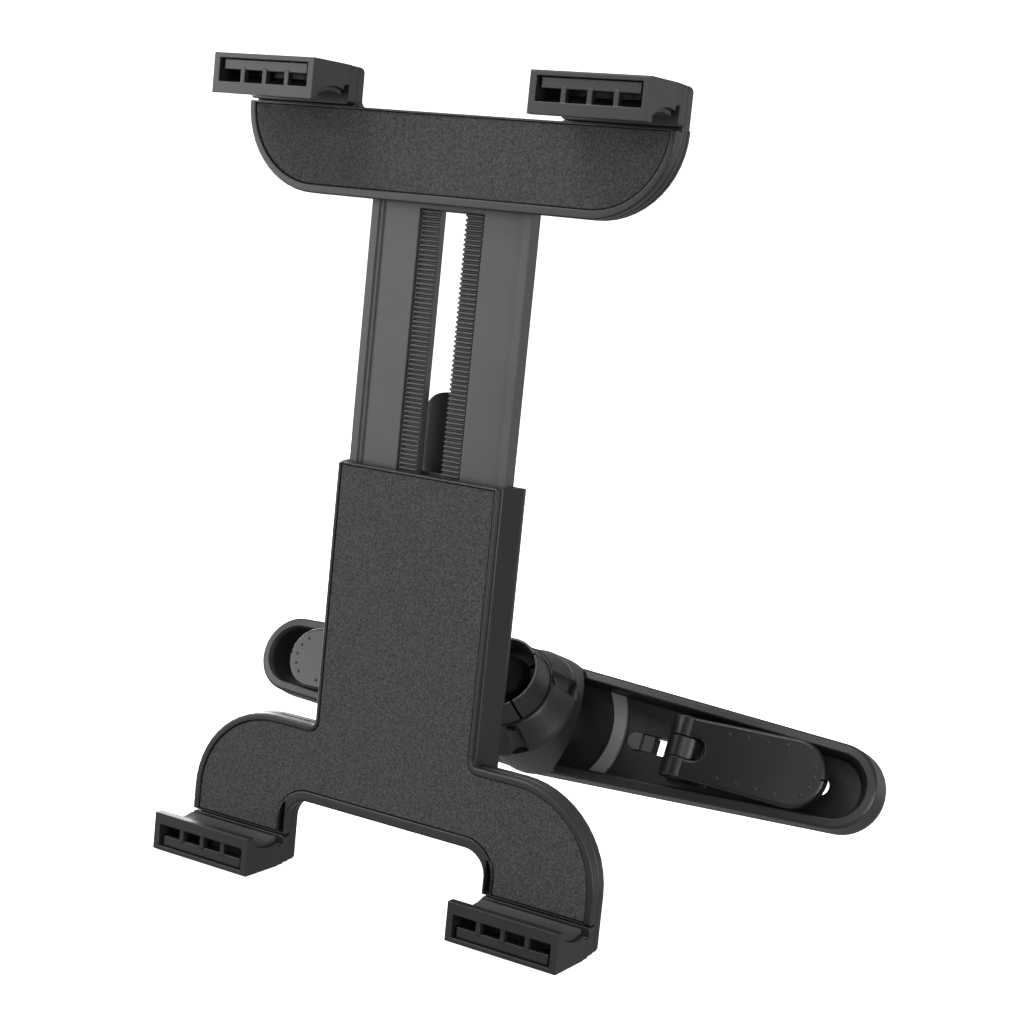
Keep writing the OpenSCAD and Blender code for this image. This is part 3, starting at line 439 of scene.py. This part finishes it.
def cover_and_foam(part, body, corners, radii, rims, floor_back, grooves=()):
    """A cover with a pocket, whose rim is as wide as rims says, and the foam lying in it."""
    s = sizes()
    pocket = lambda d: inset(corners, radii, 1.0, CORNER_N, rims + d)
    mouth = (lambda d: pocket(-d)[::-1], wall_profile(SHELL_FRONT))
    side = cover_profile(s.edge * 1000, COVER_BACK, SHELL_FRONT)
    cover = Shape()
    cover.plate(polygon(corners, radii, CORNER_N), side, [mouth, *grooves])
    cover.plate(lambda d: pocket(d - 0.1), [(0, FOAM_BACK), (0, floor_back)])
    piece(part + "_cover_skin", cover, body, [part + "_cover"], in_holder)
    pad = Shape()
    foam_side = soft_edge(FOAM_FRONT, FOAM_BACK, s.foam_edge * 1000, 0.02, 4)
    pad.plate(lambda d: pocket(d + 0.2), foam_side)
    ob = piece(part + "_foam", pad, body, [part + "_pad"], in_holder)


class MOUNT_OT_lower_body(bpy.types.Operator):
    """Lower shell, its front cover and the foam on it"""

    bl_idname = "mount.lower_body"
    bl_label = "Lower body"

    def execute(self, context):
        shell = Shape()
        a = HALF_W - CLAW_W
        waist, foot = 24.5, 18.8
        right = [(a, 0), (HALF_W, 0), (HALF_W, ARM_TOP), (waist, ARM_TOP), (waist, ARM_BACK)]
        corners = right + [(-x, z) for x, z in right[::-1]] + [(-a, ARCH_H), (a, ARCH_H)]
        radii = [1.5, 1.5, ARM_R, 0.3, 0.3, 0.3, 0.3, ARM_R, 1.5, 1.5, ARCH_R, ARCH_R]
        screws = screw_holes(FIX_Z, ARM_BACK, 0.3)
        shell.plate(polygon(corners, radii, CORNER_N), soft_edge(SHELL_FRONT, ARM_BACK, 0.5, 1.0), screws)
        # back wall of the sleeve, with the window that the latch moves in
        half, z0, z1, front = 4.4, 93.6, 103.2, 22.9
        latch = (box_outline(-half, z0, half, z1, 0.5, True), [(0, front), (0, SLEEVE_BACK)])
        side = [(0, front)] + soft_edge(front, SLEEVE_BACK, 0.01, 1.2)[1:]
        shell.plate(box_outline(-SLEEVE_W, foot, SLEEVE_W, BODY_H, 0.4), side, [latch])
        for s in (-1, 1):
            # side wall of the sleeve, leaning outwards from a round front edge
            wall = [(22.62, 16.3), (23.5, 16.3), (SLEEVE_W, SLEEVE_IN), (SLEEVE_IN, SLEEVE_IN)]
            soft = [0.3, 0.55, 0.02, 0.02]
            if s < 0:
                wall, soft = [(-x, y) for x, y in wall[::-1]], soft[::-1]
            shell.plate(polygon(wall, soft), soft_edge(foot, BODY_H, 0.25, 0.25), place=lambda q: q)
            # stepped block behind the claw
            x0, x1 = sorted((s * a, s * HALF_W))
            shell.plate(box_outline(x0, 0, x1, 4.9, 0.3), soft_edge(13.15, 15.1, 0.1, 0.01))
            shell.plate(box_outline(x0, 0, x1, 7.4, 1.0), soft_edge(14.9, 17.6, 0.2, 0.01))
        shell.plate(box_outline(-23.2, foot, 23.2, 21.2, 0.2), soft_edge(SHELL_FRONT, SLEEVE_IN, 0.2, 0.01))
        piece("lower_shell_skin", shell, "holder", ["lower_shell"], in_holder)

        # rims: sides 1.7, arch 2.6, sleeve sides 0.8 and sleeve top 0.5; none at the claws
        rims = np.array([0.3, 1.7, 1.7, 0.8, 0.5, 0.8, 1.7, 1.7, 0.3, 2.6, 2.6, 2.6])
        corners, radii = lower_corners(SLEEVE_W - 2.3, 7.8, BODY_H)
        grooves = []
        for s in (-1, 1):
            x0, x1 = sorted((s * (a + 0.4), s * (a + 2.35)))
            groove = box_outline(x0, 8.1, x1, ARCH_H - 1.5, 0.5, True)
            grooves.append((groove, wall_profile(SHELL_FRONT, 0.1)))
        cover_and_foam("lower", "holder", corners, radii, rims, 16.7, grooves)
        return {"FINISHED"}


class MOUNT_OT_upper_body(bpy.types.Operator):
    """Upper shell, its front cover and the foam on it"""

    bl_idname = "mount.upper_body"
    bl_label = "Upper body"

    def execute(self, context):
        z1 = UP_TOP - CLAW_H
        z0 = z1 - UP_BAR_H
        a = HALF_W - CLAW_W
        shell = Shape()
        # arms and middle are one outline with small fillets where they meet
        right = [(HALF_W, z0), (HALF_W, UP_TOP), (a, UP_TOP), (a, z1)]
        left = [(-x, z) for x, z in right[::-1]]
        corners = left[-1:] + right + left[:-1]
        radii = [21.1, 21.1, 1.5, 1.5, 1.8, 1.8, 1.5, 1.5]
        screws = screw_holes(UP_TOP - FIX_Z, UP_BACK, 0.2)
        shell.plate(polygon(corners, radii, CORNER_N), soft_edge(SHELL_FRONT, UP_BACK, 0.5, 0.9), screws)
        corners, radii = upper_corners(z1)
        shell.plate(polygon(corners, radii, CORNER_N), soft_edge(19.5, 21.8, 0.02, 1.0))
        # the two steps at the back that hold the stem
        shell.plate(box_outline(-25.05, z0 + 0.6, 25.05, z1 - 1.4, 1.2), soft_edge(21.2, 23.2, 0.01, 0.5))
        inner = box_outline(-24.05, z0 + 1.4, 24.05, z1 - 2.4, 1.2)
        shell.plate(inner, soft_edge(22.7, SLEEVE_BACK, 0.01, 0.9))
        for s in (-1, 1):
            x0, x1 = sorted((s * a, s * HALF_W))
            shell.plate(box_outline(x0, UP_TOP - 4.9, x1, UP_TOP, 0.3), soft_edge(13.15, 15.1, 0.1, 0.01))
            shell.plate(box_outline(x0, z1 + 0.25, x1, UP_TOP, 1.0), soft_edge(14.9, 17.6, 0.25, 0.01))
        piece("upper_shell_skin", shell, "upper_arm", ["upper_shell"], in_holder)

        # rims: bottom 2.1, sides 1.7 and almost none on top
        rims = np.array([2.1, 1.7, 0.35, 1.7])
        corners, radii = upper_corners(z1 - 0.25)
        cover_and_foam("upper", "upper_arm", corners, radii, rims, 17.3)
        return {"FINISHED"}


# the clamp bar
BAR_HALF, BAR_R, TIP_R = 86.4, 15.7, 11.4
BOLT_X = 43.5
SLOT_R, SLOT_IN, SLOT_OUT = 2.45, BAR_R + 7.7, BAR_HALF - 4
RIM_Y, FLOOR_Y, BACK_Y = -20.0, -12.0, -9.6


def bar_ring(n=26):
    """Outline of the bar as a function of its inset: an arc of 180 - 2b degrees at each
    end, where sin b = (middle - tip) / length, and straight flanks that meet in the middle.
    shift moves the end arcs inwards."""
    b = math.asin((BAR_R - TIP_R) / BAR_HALF)
    a = np.linspace(-np.pi / 2 + b, np.pi / 2 - b, n)
    flank = np.linspace(0.15, 1, 8)[:-1]

    def ring(d, shift):
        r, half = TIP_R - d, BAR_HALF - shift
        tip = np.stack([half + r * np.cos(a), r * np.sin(a)], 1)
        top = np.array([0, BAR_R - d])
        up = top + flank[::-1, None] * (tip[-1] - top)
        right = np.concatenate([(up * (1, -1))[::-1], tip, up])
        left = right[::-1] * (-1, 1)
        return np.concatenate([[[0, d - BAR_R]], right, [top], left])

    return ring


def at_depth(loop, y):
    """The points of a flat outline, laid at one depth."""
    return np.column_stack([loop, np.full(len(loop), y)])[:, [0, 2, 1]]


class MOUNT_OT_clamp_bar(bpy.types.Operator):
    """Clamp bar with its rolled rim, sloping trough walls and slotted floor"""

    bl_idname = "mount.clamp_bar"
    bl_label = "Clamp bar"

    def execute(self, context):
        shape = Shape()
        lean = bar_frame(math.degrees(sizes().bar_lean))
        ring = bar_ring()
        # each row is inset, depth and shift: first the floor and the sloping wall
        rows = [(3.5, FLOOR_Y, 3.2), (3.42, -13.5, 2.6), (3.25, -18.6, 0.7), (3.15, -19.3, 0.2)]
        # inner bevel, rim that falls outwards, outer bevel
        rows += [(2.75, -19.9, 0), (2.6, RIM_Y, 0), (0.95, -19.75, 0), (0.8, -19.7, 0), (0.35, -19.4, 0)]
        # side and rounded back
        rows += [(0.25, -19.2, 0), (0.2, -16.4, 0), (0.05, -14.8, 0), (0, -13.4, 0), (0.05, -12.0, 0)]
        rows += [(0.4, -10.9, 0), (0.9, -10.1, 0), (1.4, -9.7, 0), (1.7, BACK_Y, 0)]
        shape.grid(np.stack([at_depth(ring(d, shift), y) for d, y, shift in rows]))
        slots = []
        for s in (-1, 1):
            x0, x1 = sorted((s * SLOT_IN, s * SLOT_OUT))
            slot = box_outline(x0, -SLOT_R, x1, SLOT_R, SLOT_R - 0.01, True)(0)
            shape.grid(np.stack([at_depth(slot, y) for y in (FLOOR_Y, BACK_Y)]))
            slots.append(slot)
        for (d, y, shift), back in ((rows[0], False), (rows[-1], True)):
            co, tri = fill([ring(d, shift)] + slots)
            shape.add(at_depth(co, y), tri[:, ::-1] if back else tri)
        piece("clamp_bar_skin", shape, "clamp_bar", ["bar_shell"], lean)
        return {"FINISHED"}


class MOUNT_OT_levers(bpy.types.Operator):
    """Cam levers: a notched barrel, a widening paddle with a round end, raised pips"""

    bl_idname = "mount.levers"
    bl_label = "Cam levers"

    def execute(self, context):
        lean = bar_frame(math.degrees(sizes().bar_lean))
        pin_y, front, back = -19.0743, -4.43, -1.23
        shape = Shape()
        end, tip, root, gap, deep, heel = 41.5, 9.2, 8.2, 2.95, 7.45, 2
        corners = [(heel, -root), (end, -tip), (end, tip), (heel, root)]
        corners += [(heel, gap), (deep, gap), (deep, -gap), (heel, -gap)]
        radii = [0.3, tip - 0.01, tip - 0.01, 0.3, 0.2, gap - 0.05, gap - 0.05, 0.2]
        a = np.linspace(0, np.pi / 2, 6)
        top = np.stack([0.9 * (1 - np.sin(a)), front - 0.3 + 0.7 * (1 - np.cos(a))], 1).tolist()
        shape.plate(polygon(corners, radii, 14), top + [(0, back - 0.4), (0.35, back)])
        # pips: two rows of four along the paddle and five round its end
        t = np.linspace(0, 2 * np.pi, 10, endpoint=False)
        b = np.linspace(0, np.pi / 2, 5)
        pip_r, pip_h, end_r = 0.45, 0.3, 6.6
        spots = [(13.15 + 5.47 * i, q * (6 + 0.15 * i)) for i in range(4) for q in (-1, 1)]
        fan = np.radians([-50, -25, 0, 25, 50])
        spots += [(end - tip + end_r * math.cos(v), end_r * math.sin(v)) for v in fan]
        for x, z in spots:
            px = x + pip_r * np.outer(np.cos(b), np.cos(t))
            py = front - 0.3 - pip_h * np.outer(np.sin(b), np.ones(len(t)))
            pz = z + pip_r * np.outer(np.cos(b), np.sin(t))
            shape.grid(np.stack([px, py, pz], -1), flip=True)
        # cams on both sides of the notch, off the pin's centre
        cam_r, cam_off, bore_r = 5.5, 0.424, 1.55
        for s in (-1, 1):
            z0, z1 = sorted((s * gap, s * root))
            bore = (circle(0, 0, bore_r, 32, True), [(0, z0), (0, z1)])
            cam = circle(cam_off, cam_off, cam_r, 64)
            shape.plate(cam, soft_edge(z0, z1, 0.25, 0.25), [bore], place=lambda q: q)
        for side, name in ((1, "right"), (-1, "left")):
            one = shape if side > 0 else shape.mirror()
            move = lambda pts, side=side: lean(pts + (side * BOLT_X, pin_y, 0))
            piece("cam_lever_" + name, one, "lever_" + name, ["lever_" + name], move)
        return {"FINISHED"}


# the neck
NECK = 7.6


def neck_frame():
    """From the neck's own place, z forward along it from the ball's centre, to the row frame."""
    s = sizes()
    lean = bar_frame(math.degrees(s.bar_lean))
    rise = s.neck_rise
    up = np.array([[1, 0, 0], [0, math.sin(rise), -math.cos(rise)], [0, math.cos(rise), math.sin(rise)]])
    ball = np.array([0, RIM_Y - 16 - NECK * math.cos(rise), NECK * math.sin(rise)])
    return lambda pts: lean(pts @ up.T + ball)


class MOUNT_OT_ring_nut(bpy.types.Operator):
    """Ring nut: a cone with four flutes between broad lobes"""

    bl_idname = "mount.ring_nut"
    bl_label = "Ring nut"

    def execute(self, context):
        s = sizes()
        n, depth, first = s.flutes, s.flute_depth * 1000, math.radians(27)
        a = np.linspace(0, 2 * np.pi, 240, endpoint=False)
        # distance from the nearest flute's middle; the flute is a round channel 20 degrees wide
        off = np.abs((a - first + np.pi / n) % (2 * np.pi / n) - np.pi / n) / math.radians(10)
        dip = depth * np.clip(1 - off ** 2, 0, 1) ** 0.6
        swell = 0.35 * np.cos(n / 2 * (a - first) - np.pi / 2) ** 2

        def ring(r, z, share):
            rr = np.maximum(r - dip * share + swell * share, 12.1)
            return np.stack([rr * np.cos(a), rr * np.sin(a), np.full(len(a), z)], 1)

        # each row is radius, height and share of the flutes
        rows = [(12.06, -9.6, 0), (15.6, -9.6, 0.9), (16.15, -9.45, 1), (16.35, -9.0, 1), (16.2, -8.0, 1)]
        rows += [(15.6, -6.9, 1), (14.7, -5.2, 1), (13.9, -3.3, 0.9), (13.3, -1.9, 0.7)]
        rows += [(12.95, -0.9, 0.45), (12.7, -0.35, 0.2), (12.4, -0.2, 0), (12.06, -0.2, 0)]
        shape = Shape()
        shape.grid(np.stack([ring(*row) for row in rows + rows[:1]]), flip=True)
        piece("fluted_nut", shape, "ring_nut", ["ring_nut"], neck_frame(), sharp=50)
        return {"FINISHED"}


class MOUNT_OT_cad_finishes(bpy.types.Operator):
    """Finishes for every piece that keeps its own shape"""

    bl_idname = "mount.cad_finishes"
    bl_label = "Finishes"

    def execute(self, context):
        c = context.scene.mount_colours
        body, rough = tuple(c.body), c.rough
        plastic("body_plastic", body, rough)
        plastic("claw_plastic", tuple(v * 0.95 for v in body), rough - 0.02)
        plastic("stem_plastic", tuple(c.stem), rough)
        plastic("gloss_black", tuple(c.lever), 0.32)
        plastic("grey_plastic", (0.06, 0.06, 0.061), 0.5)
        plastic("ring_grey", (0.16, 0.163, 0.165), 0.75, 0.3, 1200.0)
        # near black with little reflection: painted shade for the ball and its cup, which sit in the
        # collar's shaded mouth
        plastic("shaded_mouth_black", (0.002, 0.002, 0.002), 0.6)
        dial("shaded_mouth_black", "Specular IOR Level", 0.1)
        plastic("natural_plastic", (0.3, 0.3, 0.29), 0.5)
        plastic("rubber", (0.035, 0.035, 0.035), 0.6, 0.2)
        plastic("steel", (0.5, 0.5, 0.51), 0.3, 0.02, vary=0.05)
        dial("steel", "Metallic", 1.0)
        foam("foam", tuple(c.foam))
        for name, ob in frame["nodes"].items():
            ob.data.materials.clear()
            ob.data.materials.append(MATERIALS[FINISH.get(name, SLOTS[name])])
        return {"FINISHED"}


# the stage
def lamp(name, where, aim, size, power):
    """A soft square lamp at a point, aimed at another."""
    data = bpy.data.lights.new(name, "AREA")
    data.shape = "SQUARE"
    data.size = size
    data.energy = power
    ob = bpy.data.objects.new(name, data)
    ob.location = where
    ob.rotation_euler = (Vector(aim) - Vector(where)).to_track_quat("-Z", "Y").to_euler()
    bpy.context.scene.collection.objects.link(ob)


class MOUNT_OT_stage(bpy.types.Operator):
    """Pale floor, soft studio lamps and the camera"""

    bl_idname = "mount.stage"
    bl_label = "Stage"

    def execute(self, context):
        cam = bpy.data.cameras.new("camera")
        cam.lens, cam.sensor_width, cam.clip_start = 71.067, 36.0, 0.01
        ob = bpy.data.objects.new("camera", cam)
        # the camera's own directions in the row frame
        right = (0.84835, 0.51989, 0.10006)
        up = (-0.15747, 0.06733, 0.98523)
        back = (0.50547, -0.85157, 0.13899)
        turn = Matrix((right, up, back)).transposed().to_4x4()
        ob.matrix_world = Matrix.Translation((0.26555, -0.493148, 0.139226)) @ turn
        context.scene.collection.objects.link(ob)
        context.scene.camera = ob

        # a round floor, 2.5 m in radius, that an arc of 1 m sweeps up into a flat top
        z = CAD_BOX[0][2] * 1000 - 0.5
        floor_r, arc_r = 2500, 1000
        t = np.linspace(-np.pi / 2, np.pi / 2, 24)
        arc = np.stack([floor_r + arc_r * np.cos(t), z + arc_r + arc_r * np.sin(t)], 1).tolist()
        tent = Shape()
        rows = [(1, z)] + arc + [(1, z + 2 * arc_r)]
        tent.turned(rows, np.linspace(0, 2 * np.pi, 64, endpoint=False))
        me = bpy.data.meshes.new("floor")
        me.from_pydata((np.concatenate(tent.points) / 1000).tolist(), [], tent.faces)
        floor = bpy.data.objects.new("floor", me)
        context.scene.collection.objects.link(floor)
        mat = bpy.data.materials.new("pale_floor")
        mat.use_nodes = True
        bsdf = mat.node_tree.nodes["Principled BSDF"]
        bsdf.inputs["Base Color"].default_value = (0.92, 0.92, 0.92, 1)
        bsdf.inputs["Roughness"].default_value = 0.9
        bsdf.inputs["Emission Color"].default_value = (1, 1, 1, 1)
        bsdf.inputs["Emission Strength"].default_value = 1.05
        mat.cycles.emission_sampling = "NONE"
        me.materials.append(mat)
        floor.visible_diffuse = floor.visible_glossy = False

        world = bpy.data.worlds.new("studio")
        context.scene.world = world
        world.use_nodes = True
        bg = world.node_tree.nodes["Background"]
        bg.inputs["Color"].default_value = (1, 1, 1, 1)
        bg.inputs["Strength"].default_value = 0.38
        # each lamp has its place and aim in metres, its width and its watts
        mid = (0, -0.08, 0.07)
        lamp("key", (-0.4, -0.5, 0.95), mid, 0.5, 8)
        lamp("front", (0.35, -1.1, 0.45), mid, 0.7, 3)
        lamp("low", (-0.8, -0.72, 0.2), mid, 0.7, 7)
        lamp("side", (0.85, -0.48, 0.08), mid, 0.4, 5)
        lamp("back", (0.6, 0.85, 0.12), mid, 0.7, 0.8)
        lamp("rim", (-0.85, 0.5, 0.05), mid, 0.6, 12)
        context.scene.view_settings.view_transform = "Standard"
        return {"FINISHED"}


class MOUNT_PT_panel(bpy.types.Panel):
    """Sidebar panel that lists the pieces"""

    bl_label = "Tablet mount"
    bl_idname = "MOUNT_PT_panel"
    bl_space_type = "VIEW_3D"
    bl_region_type = "UI"
    bl_category = "Tablet mount"

    def draw(self, context):
        col = self.layout.column()
        for group in (context.scene.mount_sizes, context.scene.mount_colours):
            for key in group.__annotations__:
                col.prop(group, key)
        for op in STEPS:
            col.operator(op.bl_idname)


STEPS = (
    MOUNT_OT_cad_finishes, MOUNT_OT_lower_body, MOUNT_OT_upper_body, MOUNT_OT_clamp_bar,
    MOUNT_OT_levers, MOUNT_OT_ring_nut, MOUNT_OT_stage)
CLASSES = (MountSizes, MountColours, *STEPS, MOUNT_PT_panel)


def register():
    for cls in CLASSES:
        bpy.utils.register_class(cls)
    bpy.types.Scene.mount_sizes = PointerProperty(type=MountSizes)
    bpy.types.Scene.mount_colours = PointerProperty(type=MountColours)


def unregister():
    del bpy.types.Scene.mount_sizes
    del bpy.types.Scene.mount_colours
    for cls in reversed(CLASSES):
        bpy.utils.unregister_class(cls)


def main():
    register()
    for cls in STEPS:
        group, name = cls.bl_idname.split(".")
        getattr(getattr(bpy.ops, group), name)()


if __name__ == "__main__":
    main()
